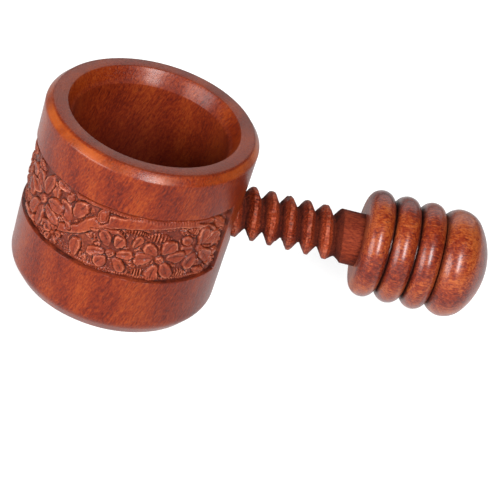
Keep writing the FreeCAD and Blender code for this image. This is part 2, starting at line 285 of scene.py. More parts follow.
class Carving:
    """Height of the carved band over x, along the wall to the right, and y, up the wall.

    A shape's far is 0 at its middle and 1 at its edge."""

    def __init__(self, x, y):
        self.x, self.y = x, y
        self.height = GROUND + 0.22 * value_noise(x / 2.1, y / 2.1, 5.0)
        self.marks = 0

    def local(self, x, y, turn):
        """Distances along and across a direction, from a shape's centre."""
        angle = math.radians(turn)
        dx, dy = self.x - x, self.y - y
        return (dx * math.cos(angle) + dy * math.sin(angle),
                -dx * math.sin(angle) + dy * math.cos(angle))

    def stamp(self, far, height, edge=0.22, gap=0.14, notch=0.62):
        """Set the height where far < 1, with a falling edge, and notch what lies round it."""
        far = far * (1 + 0.075 * value_noise(self.x / 1.1, self.y / 1.1, 9.0))
        under = np.maximum(self.height - notch * (1 - smooth((far - 1) / gap)), TRENCH)
        inside = under + (height - under) * smooth((1 - far) / edge)
        self.height = np.where(far < 1, inside, np.minimum(self.height, under))

    def gouge(self):
        """Cover the ground with short gouge cuts of many directions."""
        size = 1.25
        gx, gy = self.x / size, self.y / size
        for ox in (-1, 0, 1):
            for oy in (-1, 0, 1):
                cx, cy = np.floor(gx) + ox, np.floor(gy) + oy
                turn = math.pi * hash_noise(cx, cy, 3.0)
                dx = gx - (cx + 0.15 + 0.7 * hash_noise(cx, cy, 1.0))
                dy = gy - (cy + 0.15 + 0.7 * hash_noise(cx, cy, 2.0))
                along = dx * np.cos(turn) + dy * np.sin(turn)
                across = dy * np.cos(turn) - dx * np.sin(turn)
                deep = 0.40 + 0.50 * hash_noise(cx, cy, 4.0)
                self.height -= deep * smooth(1 - np.hypot(along / 0.75, across / 0.26))

    def hollow(self, x, y, wide, tall, depth):
        """Sink the ground in a soft round area with broken edges."""
        far = np.hypot((self.x - x) / wide, (self.y - y) / tall)
        broken = 0.6 + 0.6 * value_noise(self.x / 2.6, self.y / 2.6, 17.0)
        self.height -= depth * smooth(1.25 - far) * np.clip(broken, 0, 1)

    def foliage(self):
        """A low layer of small leaves under the other shapes."""
        size = 4.4
        for column in range(int(BAND_LENGTH / size) + 1):
            for row in range(int(BAND_TALL / size)):
                jitter = [float(hash_noise(column, row, seed)) for seed in (6.0, 7.0, 8.0)]
                x = -size * (column + 0.2 + 0.6 * jitter[0])
                y = size * (row + 0.3 + 0.6 * jitter[1])
                self.leaf(x, y, 5.6, 3.0, 180 * jitter[2], top=-0.60, veins=0.28)

    def petal(self, x, y, length, width, turn, top=-0.12, dip=0.42, crease=0.18):
        """A spoon-shaped petal: raised round its outer end, hollow inside, low at its root."""
        self.marks += 1
        swell = 1.06 + 0.07 * math.sin(2.1 * self.marks)
        top = top - 0.16 * (1 + math.sin(4.3 * self.marks))
        along, across = self.local(x, y, turn + 5 * math.sin(1.7 * self.marks))
        run = along / (length * 0.56 * swell)
        side = across / (width * 0.62 * (0.84 + 0.24 * np.clip(run, -1, 1)))
        far = np.sqrt(run * run + side * side)
        inside = smooth(1 - np.hypot(run - 0.12, side) / 0.78)
        lean = (0.18 + 0.26 * math.sin(3.1 * self.marks)) * side
        height = top - dip * inside + lean - 0.42 * smooth(-run * 1.1)
        height = height - crease * np.exp(-(across / 0.26) ** 2) * (far < 0.75)
        self.stamp(far, height)

    def bud(self, x, y, length, width, turn, top=-0.10):
        """A swelling oval with an incised line inside its edge."""
        along, across = self.local(x, y, turn)
        far = np.hypot(along / (length * 0.54), across / (width * 0.54))
        height = top - 0.30 * far ** 3 - 0.42 * np.exp(-((far - 0.60) / 0.10) ** 2)
        self.stamp(far, height, edge=0.26)

    def leaf(self, x, y, length, width, turn, top=-0.2, veins=0.3):
        """A pointed leaf with a sunk midrib and slanting veins."""
        along, across = self.local(x, y, turn)
        run = along / (length * 0.55)
        side = across / (width * 0.58)
        far = np.abs(side) + run * run
        vein = 0.5 + 0.5 * np.cos(2 * math.pi * (along - 0.8 * np.abs(across)) / 0.95)
        height = top - 0.25 * far ** 2 - veins * vein * (np.abs(across) > 0.2)
        height = height - 0.35 * np.exp(-(across / 0.22) ** 2)
        self.stamp(far, height)

    def hatching(self, x, y, length, width, turn, period=0.95, top=-0.40):
        """A lens filled with parallel cuts."""
        along, across = self.local(x, y, turn)
        far = np.abs(across / (width * 0.62)) + (along / (length * 0.56)) ** 2
        cut = 0.5 + 0.5 * np.cos(2 * math.pi * along / period)
        self.stamp(far, top - 0.8 * cut, edge=0.3)

    def boss(self, x, y, radius):
        """The round heart of a flower, cross-hatched."""
        dx, dy = self.x - x, self.y - y
        far = np.hypot(dx, dy) / radius
        grid = (np.cos(2 * math.pi * (dx + dy) / 1.25) + np.cos(2 * math.pi * (dx - dy) / 1.25))
        self.stamp(far, -0.22 - 0.35 * far ** 2 + 0.13 * grid, edge=0.35)

    def stem(self, points, widths, top=-0.12):
        """A raised strap along a smooth curve through points, with its own width at each."""
        points = np.array(points, dtype=float)
        widths = np.array(widths, dtype=float)
        spans = len(points) - 1
        marks = np.linspace(0, spans, spans * 14 + 1)
        index = np.clip(marks.astype(int), 0, spans - 1)
        t = (marks - index)[:, None]
        p0 = points[np.maximum(index - 1, 0)]
        p1, p2 = points[index], points[index + 1]
        p3 = points[np.minimum(index + 2, spans)]
        line = 0.5 * (2 * p1 + (p2 - p0) * t + (2 * p0 - 5 * p1 + 4 * p2 - p3) * t ** 2
                      + (3 * p1 - p0 - 3 * p2 + p3) * t ** 3)
        width = np.interp(marks, np.arange(spans + 1), widths)
        far = np.full_like(self.x, 9.0)
        for (cx, cy), size in zip(line, width):
            far = np.minimum(far, np.hypot(self.x - cx, self.y - cy) / (size / 2))
        self.stamp(far, top - 0.22 * far ** 3, edge=0.3)

    def flower(self, x, y, petals, length, width, reach, turn=0.0, boss=1.6):
        """A ring of petals round a boss. turn is the first petal's direction."""
        for k in range(petals):
            direction = turn + 360.0 * k / petals + 9.0 * math.sin(3.7 * k + x)
            stretch = 1 + 0.10 * math.sin(2.3 * k + y)
            away = reach * (1 + 0.06 * math.cos(1.9 * k + x))
            angle = math.radians(direction)
            self.petal(x + away * math.cos(angle), y + away * math.sin(angle),
                       length * stretch, width * (2 - stretch), direction)
        self.boss(x, y, boss)

    def ticks(self, y, tall, start, end, period=0.95, depth=0.35):
        """Short upright cuts along the band at one height."""
        row = np.exp(-((self.y - y) / (tall / 2)) ** 4)
        cut = 0.5 + 0.5 * np.cos(2 * math.pi * (self.x + 0.15 * self.y) / period)
        part = smooth((self.x - start) / 1.5) * smooth((end - self.x) / 1.5)
        self.height -= depth * row * cut * part

    def ledge(self, y, tall, start, end, top=-0.3):
        """A narrow raised strip along the band between two places."""
        row = np.exp(-((self.y - y) / (tall / 2)) ** 4)
        row = row * smooth((self.x - start) / 3) * smooth((end - self.x) / 3)
        self.height = np.maximum(self.height, GROUND + (top - GROUND) * row)


def carve_hollows(band, shift):
    """Deeper areas of ground in one repeat."""
    band.hollow(-72 + shift, BAND_TALL - 3.5, 17, 4.5, 0.8)
    band.hollow(-80 + shift, 9, 9, 10, 0.5)
    band.hollow(-3 + shift, 20, 6, 6, 0.5)


def carve_edges(band, shift):
    """Narrow ledges with tick marks along the band's edges in one repeat."""
    band.ledge(BAND_TALL - 1.1, 1.9, -58 + shift, -9 + shift)
    band.ticks(BAND_TALL - 1.1, 1.7, -46 + shift, -15 + shift)
    band.ledge(1.5, 0.8, -58 + shift, -4 + shift, top=-0.6)
    band.ticks(1.4, 1.1, -62 + shift, -6 + shift, period=0.85)


def carve_repeat(band, shift):
    """One repeat of the band's pattern, drawn from its right-hand end to the left."""
    def at(x):
        """A place in this repeat."""
        return x + shift

    # ground patches that lie under the other shapes
    band.hatching(at(-42.9), 16.3, 10.0, 2.6, -4)
    band.hatching(at(-35.0), 18.0, 9.5, 2.4, -9, period=0.8)
    band.hatching(at(-27.0), 16.9, 8.5, 3.4, -4, period=1.1, top=-0.3)
    band.hatching(at(-13.5), 19.0, 9.0, 3.0, -12)
    band.hatching(at(-61.0), 10.4, 6.0, 3.2, 48)
    band.hatching(at(-53.6), 14.2, 10.0, 2.8, 57)
    band.hatching(at(-81.0), 5.8, 9.5, 3.6, 12)
    band.hatching(at(-30.5), 3.0, 6.5, 3.2, 0, top=-0.4)
    band.hatching(at(-17.5), 3.4, 6.0, 3.2, -6, top=-0.4)

    # stems
    band.stem([(at(-80.0), 3.2), (at(-74.2), 3.0), (at(-69.6), 4.5), (at(-64.9), 6.4),
               (at(-60.9), 7.9), (at(-56.9), 9.8), (at(-53.0), 12.2), (at(-50.0), 15.2),
               (at(-46.6), 17.6), (at(-42.0), 19.6), (at(-36.6), 20.9), (at(-30.9), 21.7),
               (at(-24.9), 22.2), (at(-18.2), 22.3), (at(-13.2), 21.3), (at(-8.2), 19.2),
               (at(-4.6), 16.4), (at(-3.0), 12.4)],
              [1.6, 2.6, 2.8, 2.9, 3.0, 3.4, 4.0, 4.8, 5.2, 5.4, 4.6, 3.8, 3.0, 2.4, 2.0, 1.8,
               1.6, 1.0])
    band.stem([(at(-48.6), 14.2), (at(-44.6), 15.6), (at(-41.0), 15.9), (at(-38.4), 14.4),
               (at(-36.9), 12.2)], [0.8, 1.7, 2.1, 1.7, 0.7])
    band.stem([(at(-62.5), 11.5), (at(-60.5), 13.0), (at(-58.0), 12.4), (at(-56.5), 10.6)],
              [0.9, 1.4, 1.8, 2.2])

    # right of the stem's end
    band.petal(at(-4.8), 5.2, 5.4, 3.6, 115)
    band.bud(at(-3.6), 8.6, 3.8, 3.4, 20)
    band.petal(at(-4.2), 13.0, 5.6, 3.4, 65)
    band.flower(at(-11.4), 12.0, 5, 6.0, 4.8, 4.9, turn=28, boss=1.5)
    band.petal(at(-16.8), 15.6, 4.8, 3.6, 150)
    band.leaf(at(-9.0), 2.6, 6.0, 3.0, -20)
    band.leaf(at(-5.4), 20.4, 8.5, 3.4, -38, veins=0.4)
    band.leaf(at(-12.0), 22.9, 7.0, 2.6, -8, veins=0.4)

    # middle flowers
    band.flower(at(-25.2), 8.6, 6, 5.8, 5.0, 5.2, turn=10, boss=1.9)
    band.petal(at(-33.6), 14.2, 5.0, 3.2, 78)
    band.flower(at(-41.2), 8.2, 6, 5.2, 4.2, 4.9, turn=6, boss=1.8)

    # round the broad bend of the stem
    band.bud(at(-46.2), 20.4, 5.6, 3.8, 74)
    band.petal(at(-52.7), 5.0, 6.2, 4.2, 98)
    band.flower(at(-62.4), 4.4, 5, 2.9, 2.4, 2.3, turn=20, boss=0.9)
    band.petal(at(-58.8), 15.4, 6.4, 5.0, 140)
    band.petal(at(-53.9), 18.4, 7.6, 4.8, 68)
    band.bud(at(-58.5), 20.6, 4.2, 3.6, 60)
    band.bud(at(-55.0), 23.0, 2.6, 2.2, 0)

    band.petal(at(-64.8), 19.0, 5.6, 4.6, 105)
    band.petal(at(-62.0), 22.4, 4.6, 3.0, 165)

    # large flower at the left
    band.flower(at(-70.0), 12.6, 7, 7.4, 4.4, 6.1, turn=20, boss=1.9)
    band.petal(at(-79.6), 17.4, 6.0, 4.6, 20)
    band.petal(at(-79.2), 11.4, 6.2, 4.4, -28)
    band.leaf(at(-84.6), 13.8, 7.0, 3.4, 80)
    band.leaf(at(-84.6), 21.0, 6.0, 3.0, 10)
    band.leaf(at(-75.2), 21.6, 5.6, 2.8, -12)


def edge_distance(x, y):
    """Distance inward from the band's slightly wavering edge."""
    waver = 0.16 * value_noise(x / 5.0, y / 5.0, 15.0)
    return np.minimum(np.minimum(y, BAND_TALL - y), np.minimum(-x, x + BAND_LENGTH)) + waver


def carved_height(x, y):
    """Height of the carving against the wall's surface, zero outside the band."""
    def bend(broad_seed, small_seed):
        """How far the carver's hand strays from a drawn line."""
        broad = 0.34 * value_noise(x / 3.1, y / 3.1, broad_seed)
        return broad + 0.07 * value_noise(x / 1.1, y / 1.1, small_seed)

    band = Carving(x + bend(11.0, 13.0), y + bend(12.0, 14.0))
    shifts = (0.0, -REPEAT)
    band.foliage()
    band.gouge()
    for shift in shifts:
        carve_hollows(band, shift)
    for shift in shifts:
        carve_repeat(band, shift)
    for shift in shifts:
        carve_edges(band, shift)
    height = band.height + 0.11 * value_noise(x / 0.7, y / 0.7, 3.0)
    height = height + 0.12 * value_noise(x / 2.3, y / 2.3, 4.0)

    # a stop cut along the edge, then the plain wall outside it
    border = edge_distance(x, y)
    cut = STOP_CUT * smooth((border + 0.05) / 0.35) * smooth((1.05 - border) / 0.6)
    return np.minimum(np.minimum(height, 0.0) * smooth((border - 0.1) / 0.4), cut)


# ---------------------------------------------------------------- cup

def wall_radius(z):
    """Radius of the plain wall, which flares a little upward."""
    return BASE_RADIUS + (TOP_RADIUS - BASE_RADIUS) * z / (CUP_HEIGHT - BEVEL_OUTER)


def cup_rows():
    """Rings of the cup from the middle of its base round to the middle of its floor."""
    plain_low, plain_high = BAND_LOW - 1.6, BAND_HIGH + 1.6
    base = rounded([(0, 0, 0),
                    (FOOT_RADIUS, 0, BASE_EDGE_ROUND),
                    (wall_radius(FOOT_HEIGHT), FOOT_HEIGHT, FOOT_ROUND),
                    (wall_radius(plain_low), plain_low, 0)], LATHE_STEP)
    mouth = rounded([(wall_radius(plain_high), plain_high, 0),
                     (TOP_RADIUS, CUP_HEIGHT - BEVEL_OUTER, 1.1),
                     (RIM_OUTER, CUP_HEIGHT, 0.9),
                     (RIM_INNER, CUP_HEIGHT, 0.35),
                     (CHAMBER_RADIUS, CUP_HEIGHT - BEVEL_INNER, 0.6),
                     (CHAMBER_RADIUS, FLOOR_HEIGHT, FLOOR_ROUND),
                     (0, FLOOR_HEIGHT, 0)], LATHE_STEP)
    rows = [(r, z, COARSE) for r, z in base]
    rows.append((wall_radius(BAND_LOW - 1.0), BAND_LOW - 1.0, COARSE * 2))
    for z in np.linspace(BAND_LOW - 0.5, BAND_HIGH + 0.5, int((BAND_TALL + 1.0) / BAND_STEP)):
        rows.append((wall_radius(z), z, FINE))
    rows.append((wall_radius(BAND_HIGH + 1.0), BAND_HIGH + 1.0, COARSE * 2))
    rows.extend((r, z, COARSE) for r, z in mouth)
    return rows


def carving_wear_and_shade(x, y, carved):
    """Above 0 on rims that hands have rubbed, wear with a painted highlight; below 0, painted
    shade in cuts and along the band's edge.
    """
    blurred = sum(np.roll(np.roll(carved, i, 0), j, 1)
                  for i in (-2, 0, 2) for j in (-2, 0, 2)) / 9
    border = edge_distance(x, y)
    worn = np.clip((carved - blurred) / 0.30, -1, 1) * smooth((border - 1.0) / 0.6)
    # painted shadow along the band's edge cut, widest at the right-hand end
    line = 0.50 + 0.30 * value_noise(x / 7, y / 7, 19.0) + 1.0 * smooth((x + 4) / 3)
    return worn - smooth((border + 0.15) / 0.3) * smooth((line - border) / 0.4)


def make_cup():
    """The cup, with its carving as relief and its threaded hole."""
    rows = cup_rows()
    turn = np.arange(FINE) / FINE * 2 * math.pi
    along = (turn - 2 * math.pi + BAND_END) * BAND_RADIUS
    heights = np.array([z for r, z, count in rows if count == FINE])
    x, y = np.meshgrid(along, heights - BAND_LOW)
    carved = carved_height(x, y)
    carved_rows = iter(zip(carved, carving_wear_and_shade(x, y, carved)))

    vertices, rings, depth, wear_and_shade = [], [], [], []
    for r, z, count in rows:
        if r < 1e-6:
            add_ring(vertices, rings, [(0, 0, z)])
            depth.append(np.zeros(1))
            wear_and_shade.append(np.zeros(1))
            continue
        flat = np.zeros(count)
        relief, worn = next(carved_rows) if count == FINE else (flat, flat)
        angle = np.arange(count) / count * 2 * math.pi
        uneven = value_noise(np.cos(angle) * 2 + 9, np.sin(angle) * 2 + z / 9)
        radius = r + relief - UNEVEN * np.abs(uneven)
        points = zip(radius * np.cos(angle), radius * np.sin(angle), np.full(count, z))
        add_ring(vertices, rings, points)
        depth.append(-relief)
        wear_and_shade.append(worn)
    cup = make_object("cup_carved", vertices, lathe_faces(rings))
    store(cup, "carve_depth", np.concatenate(depth))
    # rubbed wear with a painted highlight on raised rims, and painted shade in cuts and along the
    # band's edge
    store(cup, "rim_wear_and_cut_shade", np.concatenate(wear_and_shade))
    cut_hole(cup)
    return cup


def thread_depth(x, turn):
    """Depth below the crests, and place along the screw of the nearest groove."""
    lead = CREST_PLACE + PITCH * turn / (2 * math.pi)
    places = (x - lead) / PITCH
    from_crest = np.abs(places - np.round(places)) * PITCH
    slope = (PITCH - CREST - ROOT) / 2 / (MAJOR - MINOR)
    beyond = from_crest - CREST / 2
    depth = (beyond + np.sqrt(beyond ** 2 + SOFT_CREST)) / 2 / slope
    depth = np.minimum(depth, MAJOR - MINOR)
    groove = lead + (np.floor(places) + 0.5) * PITCH
    return depth, groove


def about_axis(x, radius, turn):
    """Points round the screw's axis at one place along it."""
    return zip(np.full(len(turn), x), radius * np.cos(turn), AXIS_HEIGHT + radius * np.sin(turn))


def tube_object(name, xs, radius, count, socket=()):
    """A lathe about the screw's axis from a radius over x and turn, with an optional socket."""
    turn = np.arange(count) / count * 2 * math.pi
    vertices, rings = [], []
    add_ring(vertices, rings, [(xs[0], 0, AXIS_HEIGHT)])
    for x in xs:
        add_ring(vertices, rings, about_axis(x, radius(x, turn), turn))
    for x, r in socket:
        add_ring(vertices, rings, about_axis(x, np.full(count, r), turn))
    add_ring(vertices, rings, [(vertices[-1][0], 0, AXIS_HEIGHT)])
    return make_object(name, vertices, lathe_faces(rings))


def fix_normals(thing):
    """Turn every face outward."""
    work = bmesh.new()
    work.from_mesh(thing.data)
    bmesh.ops.recalc_face_normals(work, faces=work.faces)
    work.to_mesh(thing.data)
    work.free()


def cut_hole(cup):
    """Cut the threaded hole with a solid shaped like the screw, a little larger."""
    def radius(x, turn):
        depth, _ = thread_depth(x, turn)
        size = MAJOR + GAP - depth
        from_middle = np.hypot(x, size * np.cos(turn))
        outer_flare = OUTER_FLARE * smooth((from_middle - (wall_radius(AXIS_HEIGHT) - 0.9)) / 1.1)
        inner_flare = INNER_FLARE * smooth(CHAMBER_RADIUS + 0.7 - from_middle)
        inner_flare = inner_flare * (x < CHAMBER_RADIUS + 2)
        return size + outer_flare + inner_flare

    xs = np.arange(CHAMBER_RADIUS - 6, TOP_RADIUS + 4, HOLE_STEP)
    cutter = tube_object("hole_cutter", xs, radius, HOLE_COUNT)
    fix_normals(cutter)
    fix_normals(cup)
    cut = cup.modifiers.new("hole", "BOOLEAN")
    cut.object = cutter
    cut.operation = "DIFFERENCE"
    cut.solver = "MANIFOLD"
    apply_modifiers(cup)
    bpy.data.objects.remove(cutter, do_unlink=True)
    shade(cup, CUP_SHARP)


def apply_modifiers(thing):
    """Replace a mesh by its modified shape."""
    graph = bpy.context.evaluated_depsgraph_get()
    mesh = bpy.data.meshes.new_from_object(thing.evaluated_get(graph))
    thing.modifiers.clear()
    old = thing.data
    thing.data = mesh
    bpy.data.meshes.remove(old)


# ---------------------------------------------------------------- screw and knob

def make_screw():
    """The screw: thread, plain shank and a socket for the dowel, with worn and chipped wood."""
    deep = []

    def radius(x, turn):
        level = np.full_like(turn, x)
        wobble = 0.16 * value_noise(turn * 1.6, level / 3, 21.0)
        wobble = wobble + 0.07 * value_noise(turn * 6, level, 22.0)
        depth, groove = thread_depth(x + wobble, turn)
        depth = depth * smooth((THREAD_END - groove) / 1.6)
        cone = np.clip((x - SHANK_START + SHANK_CONE) / SHANK_CONE, 0, 1)
        blank = MAJOR + (SHANK_RADIUS - MAJOR) * cone
        threaded = 1 - smooth((x - SHANK_START + 1) / 1.5)
        chips = np.maximum(0, value_noise(turn * 4.3, level / 0.9, 31.0)) ** 2
        worn = 0.80 * chips * threaded
        worn = worn + 0.16 * np.abs(value_noise(turn * 2.3, level / 1.5, 33.0))
        tip = MAJOR - TIP_BEVEL * (1 - smooth((x - SCREW_TIP) / (2 * TIP_BEVEL)))
        deep.append(depth + 1.9 * (1 - threaded))
        return np.minimum(blank - worn - depth, tip)

    xs = np.arange(SCREW_TIP, KNOB_FACE, SCREW_STEP)
    xs[-1] = KNOB_FACE
    socket = [(KNOB_FACE, SOCKET + SOCKET_BEVEL), (KNOB_FACE, SOCKET),
              (dowel_low[0] - END_GAP, SOCKET)]
    screw = tube_object("screw_threaded", xs, radius, SCREW_COUNT, socket)
    in_socket = np.zeros(len(socket) * SCREW_COUNT + 1)
    store(screw, "carve_depth", np.concatenate([np.zeros(1), *deep, in_socket]))
    fix_normals(screw)
    shade(screw, SCREW_SHARP)
    return screw


def knob_profile():
    """Outline of the knob, (x, radius), from its face over the beads to the crown."""
    def arc(x, r, size, start, end, steps):
        """Points on an arc about (x, r) from one angle to another."""
        angles = np.linspace(start, end, steps)
        return [(x + size * math.cos(a), r + size * math.sin(a)) for a in angles]

    rise = math.acos((BEAD_SPACING / 2 - GROOVE_WIDTH / 2) / BEAD_ROUND)
    points = []
    for k in range(BEAD_COUNT):
        centre = KNOB_FACE + BEAD_ROUND + k * BEAD_SPACING
        left = math.pi if k == 0 else math.pi - rise
        points.extend(arc(centre, BEAD_RING, BEAD_ROUND, left, rise, BEAD_STEPS))
        groove = centre + BEAD_SPACING / 2
        points.append((groove - GROOVE_FLAT * GROOVE_WIDTH, GROOVE_RADIUS))
        points.append((groove + GROOVE_FLAT * GROOVE_WIDTH, GROOVE_RADIUS))

    # the dome: a shoulder, a rounder turn, then the flat crown
    outer_ring = KNOB_RADIUS - DOME_OUTER
    crown_centre = DOME_PLACE - math.sqrt((CROWN - DOME_OUTER) ** 2 - outer_ring ** 2)
    turn = math.atan2(outer_ring, DOME_PLACE - crown_centre)
    points.extend(arc(DOME_PLACE, KNOB_RADIUS - DOME_INNER, DOME_INNER, DOME_START, math.pi / 2,
                      DOME_STEPS))
    points.extend(arc(DOME_PLACE, outer_ring, DOME_OUTER, math.pi / 2, turn, DOME_STEPS)[1:])
    points.extend(arc(crown_centre, 0, CROWN, turn, NEAR_POLE, CROWN_STEPS)[1:])
    return points


def make_knob():
    """The knob: a socket for the dowel, an inner face, beads and a dome."""
    turn = np.arange(KNOB_COUNT) / KNOB_COUNT * 2 * math.pi
    vertices, rings = [], []
    bottom = dowel_high[0] + END_GAP
    add_ring(vertices, rings, [(bottom, 0, AXIS_HEIGHT)])
    for x, r in ((bottom, SOCKET), (KNOB_FACE, SOCKET), (KNOB_FACE, SHANK_RADIUS)):
        add_ring(vertices, rings, about_axis(x, np.full(KNOB_COUNT, r), turn))
    deep = [np.zeros(len(vertices))]
    for x, r in knob_profile():
        uneven = value_noise(turn * 1.3, np.full(KNOB_COUNT, x / 5), 41.0)
        add_ring(vertices, rings, about_axis(x, r - UNEVEN * np.abs(uneven), turn))
        beaded = DOME_PLACE > x > KNOB_FACE + 2
        deep.append(np.full(KNOB_COUNT, (KNOB_RADIUS - r) * beaded))
    add_ring(vertices, rings, [(KNOB_END, 0, AXIS_HEIGHT)])
    deep.append(np.zeros(1))
    knob = make_object("knob_turned", vertices, lathe_faces(rings))
    store(knob, "carve_depth", np.concatenate(deep))
    fix_normals(knob)
    shade(knob, SCREW_SHARP)
    return knob


# ---------------------------------------------------------------- materials

class Nodes:
    """A short way to write a material's node tree."""

    def __init__(self, name):
        self.material = bpy.data.materials.new(name)
        self.material.use_nodes = True
        self.tree = self.material.node_tree
        self.shader = self.tree.nodes["Principled BSDF"]

    def add(self, kind, **settings):
        node = self.tree.nodes.new(kind)
        for key, value in settings.items():
            setattr(node, key, value)
        return node

    def set(self, node, socket, value):
        if isinstance(value, bpy.types.NodeSocket):
            self.tree.links.new(value, node.inputs[socket])
        else:
            node.inputs[socket].default_value = value

    def math(self, operation, first, second=0.0, third=0.0):
        node = self.add("ShaderNodeMath", operation=operation)
        for index, value in enumerate((first, second, third)):
            self.set(node, index, value)
        return node.outputs[0]

    def times(self, first, second):
        """first * second"""
        return self.math("MULTIPLY", first, second)

    def plus(self, value, factor, base):
        """base + value * factor"""
        return self.math("MULTIPLY_ADD", value, factor, base)

    def attribute(self, name):
        """A number stored with the mesh."""
        return self.add("ShaderNodeAttribute", attribute_name=name).outputs["Fac"]

    def noise(self, vector, scale, detail=3.0, rough=0.55, distortion=0.0):
        node = self.add("ShaderNodeTexNoise")
        self.set(node, "Vector", vector)
        self.set(node, "Scale", scale)
        self.set(node, "Detail", detail)
        self.set(node, "Roughness", rough)
        self.set(node, "Distortion", distortion)
        return node.outputs["Fac"]

    def mapping(self, vector, scale=(1, 1, 1), location=(0, 0, 0), rotation=(0, 0, 0)):
        node = self.add("ShaderNodeMapping")
        self.set(node, "Vector", vector)
        self.set(node, "Location", location)
        self.set(node, "Rotation", rotation)
        self.set(node, "Scale", scale)
        return node.outputs[0]

    def ramp(self, value, stops):
        """A colour from a value, through (place, colour) stops."""
        node = self.add("ShaderNodeValToRGB")
        elements = node.color_ramp.elements
        for element, (place, shade_of) in zip(elements, (stops[0], stops[-1])):
            element.position = place
            element.color = (*shade_of, 1)
        for place, shade_of in stops[1:-1]:
            elements.new(place).color = (*shade_of, 1)
        self.set(node, "Fac", value)
        return node.outputs["Color"]

    def span(self, value, low, high, out_low=0.0, out_high=1.0):
        """A smooth rise, or fall, between two values."""
        node = self.add("ShaderNodeMapRange", interpolation_type="SMOOTHSTEP")
        for socket, number in (("Value", value), ("From Min", low), ("From Max", high),
                               ("To Min", out_low), ("To Max", out_high)):
            self.set(node, socket, number)
        return node.outputs[0]

    def mix(self, amount, first, second):
        node = self.add("ShaderNodeMix", data_type="RGBA", blend_type="MIX")
        self.set(node, 0, amount)
        self.set(node, 6, first)
        self.set(node, 7, second)
        return node.outputs[2]


def colour(red, green, blue):
    """A linear colour with full alpha."""
    return (red, green, blue, 1.0)


MM_SCALE = (1000, 1000, 1000)
LAYERS_TURN = (0.30, 0.42, 0.6)
GRAIN_TURN = {"x": (0, math.pi / 2, 0),     # along the screw
              "z": (0, -0.30, 0)}           # up the cup, leaning a little
BUMP_STRENGTH = 0.45
BUMP_DISTANCE = 0.0002
COAT_ROUGHNESS = 0.21
WOOD_IOR = 1.5

CARVED = colour(0.125, 0.021, 0.009)
# painted shade in the carving's recesses
RECESS_SHADE = colour(0.022, 0.0024, 0.0011)
# painted shade in the carving's cuts and along the band's edge
CUT_SHADE = colour(0.013, 0.0017, 0.0009)
# raised rims: rubbed wear, lightened further as a painted highlight
RIM_WEAR_AND_HIGHLIGHT = colour(0.27, 0.080, 0.041)
# painted shade in the bore
BORE_SHADE = colour(0.036, 0.0012, 0.0004)
END_GRAIN = colour(0.070, 0.0130, 0.0045)
# painted light on the cup's outer bevel
BEVEL_LIGHT = colour(0.21, 0.042, 0.006)
# painted shade in the grooves of screw and knob
GROOVE_SHADE = colour(0.020, 0.0020, 0.0008)
# painted highlight on the thread's crests
CREST_HIGHLIGHT = colour(0.24, 0.066, 0.034)


